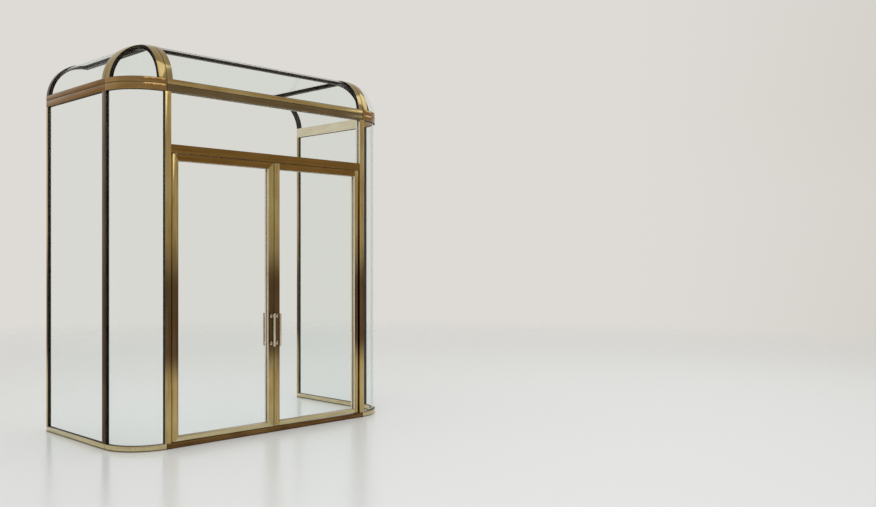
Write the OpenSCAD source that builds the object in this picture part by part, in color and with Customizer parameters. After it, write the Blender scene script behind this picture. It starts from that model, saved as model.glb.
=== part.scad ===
// Glass entrance vestibule: a draught lobby that stands against a wall. A brass frame with round
// front corners carries side glass, curved corner glass, a transom light and a coved glass roof,
// and a pair of pivoted glass doors fills the front.
// Origin: floor level, the middle of the width and of the depth with the door pulls.
// X runs along the front, Y runs from the front to the wall, Z is up.

/* [Plan] */
// Length of the straight front, between the joint lines of the two round corners
front_w = 2116; // [1900:2:2600]
// Depth from the wall to the front face
depth = 1500; // [1200:10:2200]
// Outer radius of the round corners
corner_r = 360; // [320:5:440]

/* [Heights] */
// Height of the sill that runs round the floor
sill_h = 47; // [35:1:80]
// Underside of the head rail above the floor
head_z = 2930; // [2750:10:3200]
// Height of the head rail
head_h = 56; // [45:1:80]
// Height of the roof curb on the head rail
curb_h = 44; // [30:1:70]
// Underside of the transom bar above the floor
transom_z = 2430; // [2200:10:2600]
// Height of the transom bar
transom_h = 70; // [50:1:100]

/* [Frame] */
// Depth of the side and corner frames and of the roof curb, from the outer to the inner face
frame_d = 36; // [30:1:60]
// Depth of the door jambs, the transom bar, the head rail over them and the sill under the doors
door_d = 64; // [64:1:90]
// Width of a corner post on the side wall, up to its joint line
corner_post_w = 44; // [30:1:60]
// Width of a door jamb on the front, up to its joint line
jamb_w = 38; // [30:1:60]
// Width of a post on the round side of its joint line
post_round_w = 18; // [15:1:30]
// Width of the post against the wall
wall_post_w = 30; // [25:1:60]
// Width of the joint lines
joint_w = 5; // [2:0.5:8]
// Depth of the joint lines
joint_d = 4; // [2:0.5:5]

/* [Glazing] */
// Thickness of the glass in the walls and doors
glass_t = 10; // [8:1:12]
// Thickness of the gasket on each side of a pane
gasket_t = 4; // [2:0.5:6]
// Depth of the glazing pockets
pocket_d = 12; // [8:1:14]
// Clearance between the edge of a pane and the end of its pocket
edge_gap = 3; // [2:0.5:5]

/* [Doors] */
// Thickness of a door leaf
leaf_t = 60; // [50:1:64]
// Width of the stile at the pivots, with its half-round heel
hinge_stile_w = 60; // [50:1:100]
// Width of the stile where the doors meet
meeting_stile_w = 58; // [45:1:90]
// Height of the top rail of a door
top_rail_h = 55; // [45:1:120]
// Height of the bottom rail of a door
bottom_rail_h = 38; // [36:1:200]
// Gap between a door and its jamb
jamb_gap = 5; // [5:0.5:8]
// Gap between the two doors
meeting_gap = 7; // [6:0.5:10]
// Gap under and over a door
level_gap = 6; // [5:0.5:10]
// Diameter of the pivot pins
pin_d = 16; // [12:1:20]
// Length of a pivot pin inside the door
pin_l = 16; // [12:1:20]
// Running clearance round a pivot pin
pin_clear = 0.08; // [0.02:0.01:0.1]
// Diameter of the collar on a pivot pin
collar_d = 36; // [28:1:44]

/* [Pulls] */
// Diameter of the pull bar
pull_d = 18; // [14:1:24]
// Length of the pull bar
pull_l = 296; // [200:1:600]
// Height of the middle of the pulls above the floor
pull_z = 922; // [850:1:1100]
// Reach of a pull from the face of the door
pull_reach = 62; // [50:1:90]
// Diameter of the standoffs of a pull
standoff_d = 13; // [10:1:16]
// Distance of the standoffs from the ends of the bar
standoff_in = 26; // [15:1:60]
// Diameter of the roses at the foot of the standoffs
rose_d = 28; // [20:1:34]
// Thickness of the roses
rose_t = 4; // [2:0.5:8]

/* [Roof] */
// Distance of the axis of the cove below the top of the curb
cove_drop = 30; // [0:1:45]
// Thickness of the brass caps over the roof glass
cap_t = 6; // [5:0.5:10]
// Width of a rib over the dome glass
rib_dome_w = 68; // [45:1:90]
// Width of a rib over the cove glass
rib_cove_w = 50; // [35:1:80]
// Width of a rib against the wall
wall_rib_w = 45; // [25:1:60]
// Radius of the rounded tip of the dome glass between two ribs
tip_r = 45; // [20:1:70]
// Width of the rails along the flat roof glass
ridge_w = 45; // [36:1:60]
// Thickness of the roof glass
roof_glass_t = 8; // [6:1:10]
// Thickness of the bedding between the roof glass and the bars
bed_t = 0.5; // [0.3:0.1:0.8]
// Height of the bars under the roof glass
bar_h = 20; // [14:1:26]
// Thickness of the webs between two panes of roof glass
web_t = 10; // [6:1:14]

/* [Hidden] */
$fn = 96;

// A little extra length for cuts that run out of a solid
over = 1;

// The pulls stand out of the front, and the origin is under the middle of the whole depth
leaf_back = (door_d - leaf_t) / 2;
rear_y = (depth + pull_reach - leaf_back) / 2;
front_y = rear_y - depth;
corner_x = front_w / 2;
corner_y = front_y + corner_r;
half_w = corner_x + corner_r;

curb_z = head_z + head_h;
roof_z = curb_z + curb_h;
post_h = head_z - sill_h;

// The glass stands in the middle of its frame, in a pocket that takes the pane and its two gaskets
glass_out = (frame_d - glass_t) / 2;
pocket_out = glass_out - gasket_t;
pocket_in = glass_out + glass_t + gasket_t;
light_out = (door_d - glass_t) / 2;
light_pocket_out = light_out - gasket_t;
light_pocket_in = light_out + glass_t + gasket_t;
bite = pocket_d - edge_gap;

// The door opening and the leaf in it, which turns about the middle of its half-round heel
jamb_x = corner_x - jamb_w;
transom_top = transom_z + transom_h;
leaf_out_x = jamb_x - jamb_gap;
leaf_in_x = meeting_gap / 2;
pivot_x = leaf_out_x - leaf_t / 2;
pivot_y = front_y + door_d / 2;
leaf_z = sill_h + level_gap;
leaf_h = transom_z - level_gap - leaf_z;
pull_x = leaf_in_x + meeting_stile_w / 2;

// The cove: a quarter round of the same radius as the corners, so that these are parts of a sphere
cove_r = corner_r;
axis_z = roof_z - cove_drop;
glass_r = cove_r - cap_t - bed_t;
under_r = glass_r - roof_glass_t - bed_t;
pane_edge = web_t / 2 + edge_gap;
pole_half = ridge_w / 2;
ridge_bar_r = sqrt(under_r * under_r - pole_half * pole_half);

// Plan shapes

// A strip of the side walls, from inset a to inset b and from y0 to y1, on side s (-1 left, 1 right)
module side_strip(s, a, b, y0, y1) {
    x0 = s > 0 ? half_w - b : -half_w + a;
    translate([x0, y0]) square([b - a, y1 - y0]);
}

// A strip of the front wall, from inset a to inset b and from x0 to x1
module front_strip(a, b, x0, x1) {
    translate([x0, front_y + a]) square([x1 - x0, b - a]);
}

// A strip of a round corner, from inset a to inset b, without a margin beside each joint plane
module corner_strip(s, a, b, margin = 0) {
    x0 = s > 0 ? margin : -corner_r - over;
    translate([s * corner_x, corner_y]) intersection() {
        difference() {
            circle(corner_r - a);
            circle(corner_r - b);
        }
        translate([x0, -corner_r - over]) square(corner_r + over - margin);
    }
}

// The joint lines in the outer face, where the front, corner and side frames meet
module joint_lines() {
    for (s = [-1, 1]) {
        side_strip(s, -over, joint_d, corner_y - joint_w / 2, corner_y + joint_w / 2);
        front_strip(-over, joint_d, s * corner_x - joint_w / 2, s * corner_x + joint_w / 2);
    }
}

// Sills

module straight_sill(s) {
    color("#a89055") difference() {
        linear_extrude(sill_h) difference() {
            side_strip(s, 0, frame_d, corner_y, rear_y);
            joint_lines();
        }
        translate([0, 0, sill_h - pocket_d]) linear_extrude(pocket_d + over)
            side_strip(s, pocket_out, pocket_in, corner_y - over, rear_y - wall_post_w + pocket_d);
    }
}

module corner_sill(s) {
    color("#a89055") difference() {
        linear_extrude(sill_h) difference() {
            corner_strip(s, 0, frame_d);
            joint_lines();
        }
        translate([0, 0, sill_h - pocket_d]) linear_extrude(pocket_d + over)
            corner_strip(s, pocket_out, pocket_in, post_round_w - pocket_d);
    }
}

module front_sill() {
    color("#8a7140") linear_extrude(sill_h) difference() {
        front_strip(0, door_d, -corner_x, corner_x);
        joint_lines();
    }
}

// Posts

module wall_post(s) {
    color("#a89055") translate([0, 0, sill_h]) linear_extrude(post_h) difference() {
        side_strip(s, 0, frame_d, rear_y - wall_post_w, rear_y);
        side_strip(s, pocket_out, pocket_in, rear_y - wall_post_w - over,
            rear_y - wall_post_w + pocket_d);
    }
}

// The part of a post on the round side of its joint plane: side 0 meets the side wall, 1 the front
module round_part(s, a, b, from, to, side) {
    u = s > 0 ? corner_x : -corner_x - corner_r;
    intersection() {
        corner_strip(s, a, b);
        if (side == 0)
            translate([u, corner_y - to]) square([corner_r, to - from]);
        else
            translate([s > 0 ? corner_x + from : -corner_x - to, front_y]) square([to - from, corner_r]);
    }
}

module corner_post(s) {
    color("#a89055") translate([0, 0, sill_h]) linear_extrude(post_h) difference() {
        union() {
            side_strip(s, 0, frame_d, corner_y, corner_y + corner_post_w);
            round_part(s, 0, frame_d, 0, post_round_w, 0);
        }
        side_strip(s, pocket_out, pocket_in, corner_y + corner_post_w - pocket_d,
            corner_y + corner_post_w + over);
        round_part(s, pocket_out, pocket_in, post_round_w - pocket_d, post_round_w + over, 0);
        joint_lines();
    }
}

module jamb_post(s) {
    inner_x = s > 0 ? jamb_x : -corner_x;
    pocket_x = s > 0 ? jamb_x - over : -jamb_x - pocket_d;
    color("#a89055") difference() {
        translate([0, 0, sill_h]) linear_extrude(post_h) difference() {
            union() {
                front_strip(0, door_d, inner_x, inner_x + jamb_w);
                round_part(s, 0, frame_d, 0, post_round_w, 1);
            }
            round_part(s, pocket_out, pocket_in, post_round_w - pocket_d, post_round_w + over, 1);
        }
        translate([0, 0, transom_top - pocket_d]) linear_extrude(head_z - transom_top + pocket_d + over)
            front_strip(light_pocket_out, light_pocket_in, pocket_x, pocket_x + pocket_d + over);
    }
}

module transom_bar() {
    color("#7d5f2e") difference() {
        translate([0, 0, transom_z]) linear_extrude(transom_h)
            front_strip(0, door_d, -jamb_x, jamb_x);
        translate([0, 0, transom_top - pocket_d]) linear_extrude(pocket_d + over)
            front_strip(light_pocket_out, light_pocket_in, -jamb_x - over, jamb_x + over);
    }
}

// Head rails and the roof curb

// Extrudes a head rail's plan and cuts the glazing pocket, the second child, into its underside
module with_head_pocket() {
    difference() {
        translate([0, 0, head_z]) linear_extrude(head_h) difference() {
            children(0);
            joint_lines();
        }
        translate([0, 0, head_z - over]) linear_extrude(pocket_d + over) children(1);
    }
}

module side_head_rail(s) {
    color("#8a6c38") with_head_pocket() {
        side_strip(s, 0, frame_d, corner_y, rear_y);
        side_strip(s, pocket_out, pocket_in, corner_y - over, rear_y - wall_post_w + pocket_d);
    }
}

module corner_head_rail(s) {
    color("#8a6c38") with_head_pocket() {
        corner_strip(s, 0, frame_d);
        corner_strip(s, pocket_out, pocket_in, post_round_w - pocket_d);
    }
}

module front_head_rail() {
    color("#8a6c38") with_head_pocket() {
        front_strip(0, door_d, -corner_x, corner_x);
        front_strip(light_pocket_out, light_pocket_in, -jamb_x - pocket_d, jamb_x + pocket_d);
    }
}

// The whole ring of the curb between two insets
module curb_ring(a, b) {
    for (s = [-1, 1]) {
        side_strip(s, a, b, corner_y, rear_y);
        corner_strip(s, a, b);
    }
    front_strip(a, b, -corner_x, corner_x);
}

module roof_curb() {
    color("#a0844a") translate([0, 0, curb_z]) {
        linear_extrude(joint_w) curb_ring(joint_d, frame_d);
        translate([0, 0, joint_w]) linear_extrude(curb_h - joint_w) difference() {
            curb_ring(0, frame_d);
            joint_lines();
        }
    }
}

// Wall glass

// Extrudes a pane's plan from the bottom of the sill pocket into the head pocket
module wall_pane() {
    color([0.75, 0.85, 0.85, 0.35]) translate([0, 0, sill_h - pocket_d])
        linear_extrude(head_z + bite - sill_h + pocket_d) children();
}

module side_glass(s) {
    wall_pane() side_strip(s, glass_out, glass_out + glass_t,
        corner_y + corner_post_w - bite, rear_y - wall_post_w + bite);
}

module corner_glass(s) {
    wall_pane() corner_strip(s, glass_out, glass_out + glass_t, post_round_w - bite);
}

module transom_glass() {
    color([0.75, 0.85, 0.85, 0.35]) translate([0, 0, transom_top - pocket_d])
        linear_extrude(head_z + bite - transom_top + pocket_d)
            front_strip(light_out, light_out + glass_t, -jamb_x - bite, jamb_x + bite);
}

// Roof: everything is drawn for the right corner and mirrored for the left

module on_side(s) {
    if (s > 0) children();
    else mirror([1, 0, 0]) children();
}

// Moves to the centre of the right corner's sphere
module at_corner() {
    translate([corner_x, corner_y, axis_z]) children();
}

// What lies below the top of the curb, round the centre of a corner's sphere
module foot_cut() {
    reach = cove_r + over;
    translate([-reach, -reach, -over]) cube([2 * reach, 2 * reach, cove_drop + over]);
}

// Bends a section along the cove: x is the distance from the cove's axis, y runs along the axis.
// The foot points to the right (side) or to the front.
module bend_side() {
    rotate([90, 0, 0]) rotate_extrude(angle = 90) children();
}
module bend_front() {
    rotate([90, 0, -90]) rotate_extrude(angle = 90) children();
}

// Section of a rib: the cap over the glass and the bar under it, w wide, and a web from y = from
module rib_section(w, from) {
    translate([cove_r - cap_t, 0]) square([cap_t, w]);
    translate([under_r - bar_h, 0]) square([bar_h, w]);
    translate([under_r - over, from]) square([cove_r - cap_t / 2 - under_r + over, web_t]);
}

// Plan of the opening that the two ribs leave over the dome glass, with its rounded tip
module dome_opening() {
    near = rib_dome_w;
    far = cove_r + over;
    translate([near + tip_r, near + tip_r]) circle(tip_r);
    translate([near + tip_r, near]) square([far - near - tip_r, far - near]);
    translate([near, near + tip_r]) square([far - near, far - near - tip_r]);
}

// Plan of the front rib's half of the frame over a dome, mitred against the side rib's half. Its x
// runs away from the rib's joint plane and its y from the pole to the foot.
module dome_rib_plan() {
    difference() {
        polygon([[0, pole_half], [pole_half, pole_half], [cove_r, cove_r], [0, cove_r]]);
        dome_opening();
    }
}

// A shell of the sphere, t thick with the outer radius r, over a plan and above the curb
module dome_shell(r, t) {
    intersection() {
        difference() {
            sphere(r);
            sphere(r - t);
        }
        translate([0, 0, cove_drop]) linear_extrude(r) children();
    }
}

// A rib's part on the dome: the cap over the glass and the bar under it
module dome_rib() {
    dome_shell(cove_r, cap_t) dome_rib_plan();
    dome_shell(under_r, bar_h) dome_rib_plan();
}

// The joint line along a rib
module rib_joint_line() {
    translate([cove_r - joint_d, -joint_w / 2]) square([joint_d + over, joint_w]);
}

module front_rib(s) {
    color("#a89055") on_side(s) at_corner() difference() {
        union() {
            bend_front() rib_section(rib_cove_w, -web_t / 2);
            mirror([0, 1, 0]) dome_rib();
        }
        bend_front() rib_joint_line();
        translate([-rib_cove_w - over, -pole_half, -over])
            cube([2 * rib_cove_w + rib_dome_w, corner_r, cove_r + 2 * over]);
        foot_cut();
    }
}

module side_rib(s) {
    color("#a89055") on_side(s) at_corner() difference() {
        union() {
            mirror([0, 1, 0]) bend_side() rib_section(rib_cove_w, -web_t / 2);
            mirror([0, 1, 0]) mirror([1, -1, 0]) dome_rib();
        }
        bend_side() rib_joint_line();
        translate([-corner_r + pole_half, -rib_dome_w - rib_cove_w, -over])
            cube([corner_r, 2 * rib_cove_w + rib_dome_w, cove_r + 2 * over]);
        foot_cut();
    }
}

module rear_rib(s) {
    color("#6d5530") on_side(s) translate([corner_x, rear_y, axis_z]) difference() {
        bend_side() rib_section(wall_rib_w, 0);
        translate([-corner_r + pole_half, -wall_rib_w - over, -over])
            cube([corner_r, wall_rib_w + 2 * over, cove_r + 2 * over]);
        foot_cut();
    }
}

// Section of a ridge rail: cap, web and bar, centred on x with y up from the axis of the cove
module ridge_section() {
    translate([-pole_half, cove_r - cap_t]) square([ridge_w, cap_t]);
    translate([-web_t / 2, ridge_bar_r - over])
        square([web_t, cove_r - cap_t / 2 - ridge_bar_r + over]);
    translate([-pole_half, ridge_bar_r - bar_h]) square([ridge_w, bar_h]);
}

module front_ridge_rail() {
    color("#5e4a2c") translate([-corner_x - pole_half, corner_y, axis_z]) rotate([90, 0, 90])
        linear_extrude(front_w + ridge_w) ridge_section();
}

module side_ridge_rail(s) {
    color("#5e4a2c") on_side(s) translate([corner_x, rear_y, axis_z]) rotate([90, 0, 0])
        linear_extrude(depth - corner_r - pole_half) ridge_section();
}

// Section of a cove pane: a ring that stands on the curb and stops short of the ridge rail's web
module cove_pane_section() {
    intersection() {
        difference() {
            circle(glass_r);
            circle(glass_r - roof_glass_t);
        }
        translate([pane_edge, cove_drop]) square(cove_r);
    }
}

module side_cove_glass(s) {
    color([0.75, 0.85, 0.85, 0.35]) on_side(s)
        translate([corner_x, rear_y - web_t - edge_gap, axis_z]) rotate([90, 0, 0])
            linear_extrude(depth - corner_r - web_t - edge_gap - pane_edge) cove_pane_section();
}

module front_cove_glass() {
    color([0.75, 0.85, 0.85, 0.35])
        translate([corner_x - pane_edge, corner_y, axis_z]) rotate([90, 0, -90])
            linear_extrude(front_w - 2 * pane_edge) cove_pane_section();
}

module dome_glass(s) {
    color([0.75, 0.85, 0.85, 0.35]) on_side(s) at_corner() mirror([0, 1, 0])
        dome_shell(glass_r, roof_glass_t) difference() {
            translate([pane_edge, pane_edge]) square(cove_r);
            square(pole_half + edge_gap);
        }
}

module flat_roof_glass() {
    color([0.75, 0.85, 0.85, 0.35])
        translate([-corner_x + pane_edge, corner_y + pane_edge, axis_z + glass_r - roof_glass_t])
            cube([front_w - 2 * pane_edge, depth - corner_r - pane_edge, roof_glass_t]);
}

// Doors: the right leaf is drawn and mirrored for the left

// Plan of a leaf with its half-round heel about the pivot
module leaf_plan() {
    translate([leaf_in_x, pivot_y - leaf_t / 2]) square([pivot_x - leaf_in_x, leaf_t]);
    translate([pivot_x, pivot_y]) circle(d = leaf_t);
}

// A block over the leaf's window, grown by a margin, with a thickness centred in the leaf
module leaf_window(thick, grow) {
    x0 = leaf_in_x + meeting_stile_w - grow;
    x1 = leaf_out_x - hinge_stile_w + grow;
    z0 = leaf_z + bottom_rail_h - grow;
    z1 = leaf_z + leaf_h - top_rail_h + grow;
    translate([x0, pivot_y - thick / 2, z0]) cube([x1 - x0, thick, z1 - z0]);
}

module door_frame(s) {
    bore_l = pin_l + 1;
    color("#b39a5c") on_side(s) difference() {
        translate([0, 0, leaf_z]) linear_extrude(leaf_h) leaf_plan();
        leaf_window(leaf_t + 2 * over, 0);
        leaf_window(glass_t + 2 * gasket_t, pocket_d);
        translate([pivot_x, pivot_y, leaf_z - over])
            cylinder(h = bore_l + over, d = pin_d + 2 * pin_clear);
        translate([pivot_x, pivot_y, leaf_z + leaf_h - bore_l])
            cylinder(h = bore_l + over, d = pin_d + 2 * pin_clear);
    }
}

module door_glass(s) {
    x0 = leaf_in_x + meeting_stile_w - bite;
    x1 = leaf_out_x - hinge_stile_w + bite;
    z0 = leaf_z + bottom_rail_h - pocket_d;
    z1 = leaf_z + leaf_h - top_rail_h + bite;
    color([0.75, 0.85, 0.85, 0.35]) on_side(s)
        translate([x0, pivot_y - glass_t / 2, z0]) cube([x1 - x0, glass_t, z1 - z0]);
}

// One pull on a face at y = 0, reaching towards -Y
module pull() {
    bar_y = -pull_reach + pull_d / 2;
    round_r = pull_d / 5;
    translate([0, bar_y, -pull_l / 2]) rotate_extrude() {
        translate([0, round_r]) square([pull_d / 2, pull_l - 2 * round_r]);
        square([pull_d / 2 - round_r, pull_l]);
        for (z = [round_r, pull_l - round_r])
            translate([pull_d / 2 - round_r, z]) circle(round_r);
    }
    for (z = [-1, 1]) translate([0, 0, z * (pull_l / 2 - standoff_in)]) rotate([90, 0, 0]) {
        cylinder(h = pull_reach - pull_d / 2, d = standoff_d);
        cylinder(h = rose_t, d = rose_d);
    }
}

module door_pulls(s) {
    color("#d8c9a0") on_side(s) translate([pull_x, pivot_y, pull_z]) {
        translate([0, -leaf_t / 2, 0]) pull();
        mirror([0, 1, 0]) translate([0, -leaf_t / 2, 0]) pull();
    }
}

// A pin rises from the sill and one hangs from the transom bar at each leaf, with a thrust collar
module pivot_pins() {
    color("#8c8c88") for (s = [-1, 1]) translate([s * pivot_x, pivot_y, 0]) {
        translate([0, 0, sill_h]) {
            cylinder(h = level_gap, d = collar_d);
            cylinder(h = level_gap + pin_l, d = pin_d);
        }
        translate([0, 0, transom_z - level_gap]) cylinder(h = level_gap, d = collar_d);
        translate([0, 0, transom_z - level_gap - pin_l]) cylinder(h = level_gap + pin_l, d = pin_d);
    }
}

straight_sill(-1);  // left_sill
corner_sill(-1);  // left_corner_sill
front_sill();
corner_sill(1);  // right_corner_sill
straight_sill(1);  // right_sill
wall_post(-1);  // left_wall_post
corner_post(-1);  // left_corner_post
jamb_post(-1);  // left_jamb_post
jamb_post(1);  // right_jamb_post
corner_post(1);  // right_corner_post
wall_post(1);  // right_wall_post
transom_bar();
side_head_rail(-1);  // left_head_rail
corner_head_rail(-1);  // left_corner_head_rail
front_head_rail();
corner_head_rail(1);  // right_corner_head_rail
side_head_rail(1);  // right_head_rail
roof_curb();
side_glass(-1);  // left_side_glass
corner_glass(-1);  // left_corner_glass
transom_glass();
corner_glass(1);  // right_corner_glass
side_glass(1);  // right_side_glass
rear_rib(-1);  // left_rear_rib
side_rib(-1);  // left_side_rib
front_rib(-1);  // left_front_rib
front_rib(1);  // right_front_rib
side_rib(1);  // right_side_rib
rear_rib(1);  // right_rear_rib
side_ridge_rail(-1);  // left_ridge_rail
front_ridge_rail();
side_ridge_rail(1);  // right_ridge_rail
side_cove_glass(-1);  // left_cove_glass
front_cove_glass();
side_cove_glass(1);  // right_cove_glass
dome_glass(-1);  // left_dome_glass
dome_glass(1);  // right_dome_glass
flat_roof_glass();
pivot_pins();
door_frame(-1);  // left_door_frame
door_glass(-1);  // left_door_glass
door_pulls(-1);  // left_door_pulls
door_frame(1);  // right_door_frame
door_glass(1);  // right_door_glass
door_pulls(1);  // right_door_pulls
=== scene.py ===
"""Glass entrance vestibule: the finish of every surface, the glazing seals and the small parts.

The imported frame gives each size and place. The brass sections are dressed copies of its solids
with broken edges. The roof ribs and the curved panes are drawn again at a finer step. The seals,
joint fillers, brushes and screws are grown by Geometry Nodes along paths read from the frame.
Lengths are in metres: X runs along the front, Y from the front to the wall, Z is up.
"""
import logging
import math
from dataclasses import dataclass
from enum import Enum
from functools import partial
from typing import Any, Callable, ClassVar, Sequence

import bmesh
import bpy
from bpy.types import Material, Node, NodeSocket, NodeTree, Object
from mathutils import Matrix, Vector


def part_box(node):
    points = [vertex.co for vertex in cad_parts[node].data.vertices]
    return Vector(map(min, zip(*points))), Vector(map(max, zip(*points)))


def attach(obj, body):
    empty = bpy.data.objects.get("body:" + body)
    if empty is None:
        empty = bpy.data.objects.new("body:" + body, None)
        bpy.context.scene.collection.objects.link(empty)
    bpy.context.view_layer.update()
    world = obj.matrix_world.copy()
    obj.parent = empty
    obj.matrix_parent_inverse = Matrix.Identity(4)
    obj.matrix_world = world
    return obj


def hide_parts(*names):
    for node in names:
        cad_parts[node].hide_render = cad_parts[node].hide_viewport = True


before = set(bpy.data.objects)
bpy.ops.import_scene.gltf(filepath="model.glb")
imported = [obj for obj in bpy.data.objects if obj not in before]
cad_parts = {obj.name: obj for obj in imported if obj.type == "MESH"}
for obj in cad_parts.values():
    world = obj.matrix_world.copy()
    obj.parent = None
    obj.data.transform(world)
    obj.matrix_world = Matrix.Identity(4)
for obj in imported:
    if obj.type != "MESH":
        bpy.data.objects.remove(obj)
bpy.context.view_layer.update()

MM = 0.001
BITE = 9 * MM  # how deep a pane's edge sits in its frame
DROP = 12 * MM  # the same at its foot
SAME_POINT = 0.002 * MM
ON_PLANE = 0.01 * MM
FLAT_ANGLE = math.radians(0.3)  # faces that turn less than this lie in one plane
EDGE_ANGLE = math.radians(30.0)  # sharper edges than this are broken, or kept sharp
SQUARE_ON = 0.9  # a face looks along an axis when its normal reaches this far along it
NOISE_LOW, NOISE_HIGH = 0.3, 0.7  # nearly all values of a noise lie between these
FRONT = Vector((0, -1, 0))

log = logging.getLogger("vestibule")

Point = tuple[float, float, float]
Face = tuple[int, ...]
Spot = tuple[Vector, Vector]  # a point, and the direction out of the glass or metal there


class Side(Enum):
    """The two halves of the vestibule, which mirror each other about X = 0."""

    LEFT = "left"
    RIGHT = "right"

    @property
    def sign(self) -> int:
        """The sign of X on this side."""
        return 1 if self is Side.RIGHT else -1

    @property
    def out(self) -> Vector:
        """The level direction out of the lobby on this side."""
        return Vector((self.sign, 0, 0))


class Grain(Enum):
    """How fast a brushed pattern changes along X, Y and Z: 1 across the brushing, 0 along it."""

    UPRIGHT = (1.0, 1.0, 0.0)
    LEVEL = (0.0, 0.0, 1.0)
    ACROSS_X = (1.0, 0.0, 0.0)
    ACROSS_Y = (0.0, 1.0, 0.0)


def linear(colour: str) -> tuple[float, float, float, float]:
    """Turns an sRGB hex colour into linear light.

    Args:
        colour: The colour as "#rrggbb".

    Returns:
        Linear red, green and blue, with an alpha of 1.
    """
    channels = [int(colour[i:i + 2], 16) / 255 for i in (1, 3, 5)]
    light = [c / 12.92 if c <= 0.04045 else ((c + 0.055) / 1.055) ** 2.4 for c in channels]
    return (light[0], light[1], light[2], 1.0)


def add_node(tree: NodeTree, kind: str, inputs: dict[Any, Any] | None = None,
             **settings: Any) -> Node:
    """Adds a node to a tree, with its settings, its input values and its links.

    Args:
        tree: The tree that takes the node.
        kind: The node's type name.
        inputs: By the input's name or number, a value, a socket, or a node for its first output.
        settings: Properties of the node itself.

    Returns:
        The new node.
    """
    node = tree.nodes.new(kind)
    for name, value in settings.items():
        setattr(node, name, value)
    for name, value in (inputs or {}).items():
        source = value.outputs[0] if isinstance(value, Node) else value
        if isinstance(source, NodeSocket):
            tree.links.new(source, node.inputs[name])
        else:
            node.inputs[name].default_value = source
    return node


@dataclass(frozen=True)
class Finish:
    """A finish of the part or of the floor. Each kind adds the nodes of its own surface."""

    name: str
    prefix: ClassVar[str] = ""

    def material(self) -> Material:
        """Builds the material.

        Returns:
            The material, with its surface and output.
        """
        material = bpy.data.materials.new(self.prefix + self.name)
        material.use_nodes = True
        material.node_tree.nodes.clear()
        shader = self.surface(material.node_tree)
        add_node(material.node_tree, "ShaderNodeOutputMaterial", {"Surface": shader})
        return material

    def surface(self, tree: NodeTree) -> Node:
        """Adds the nodes of the surface to a tree and gives its shader."""
        raise NotImplementedError


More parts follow.
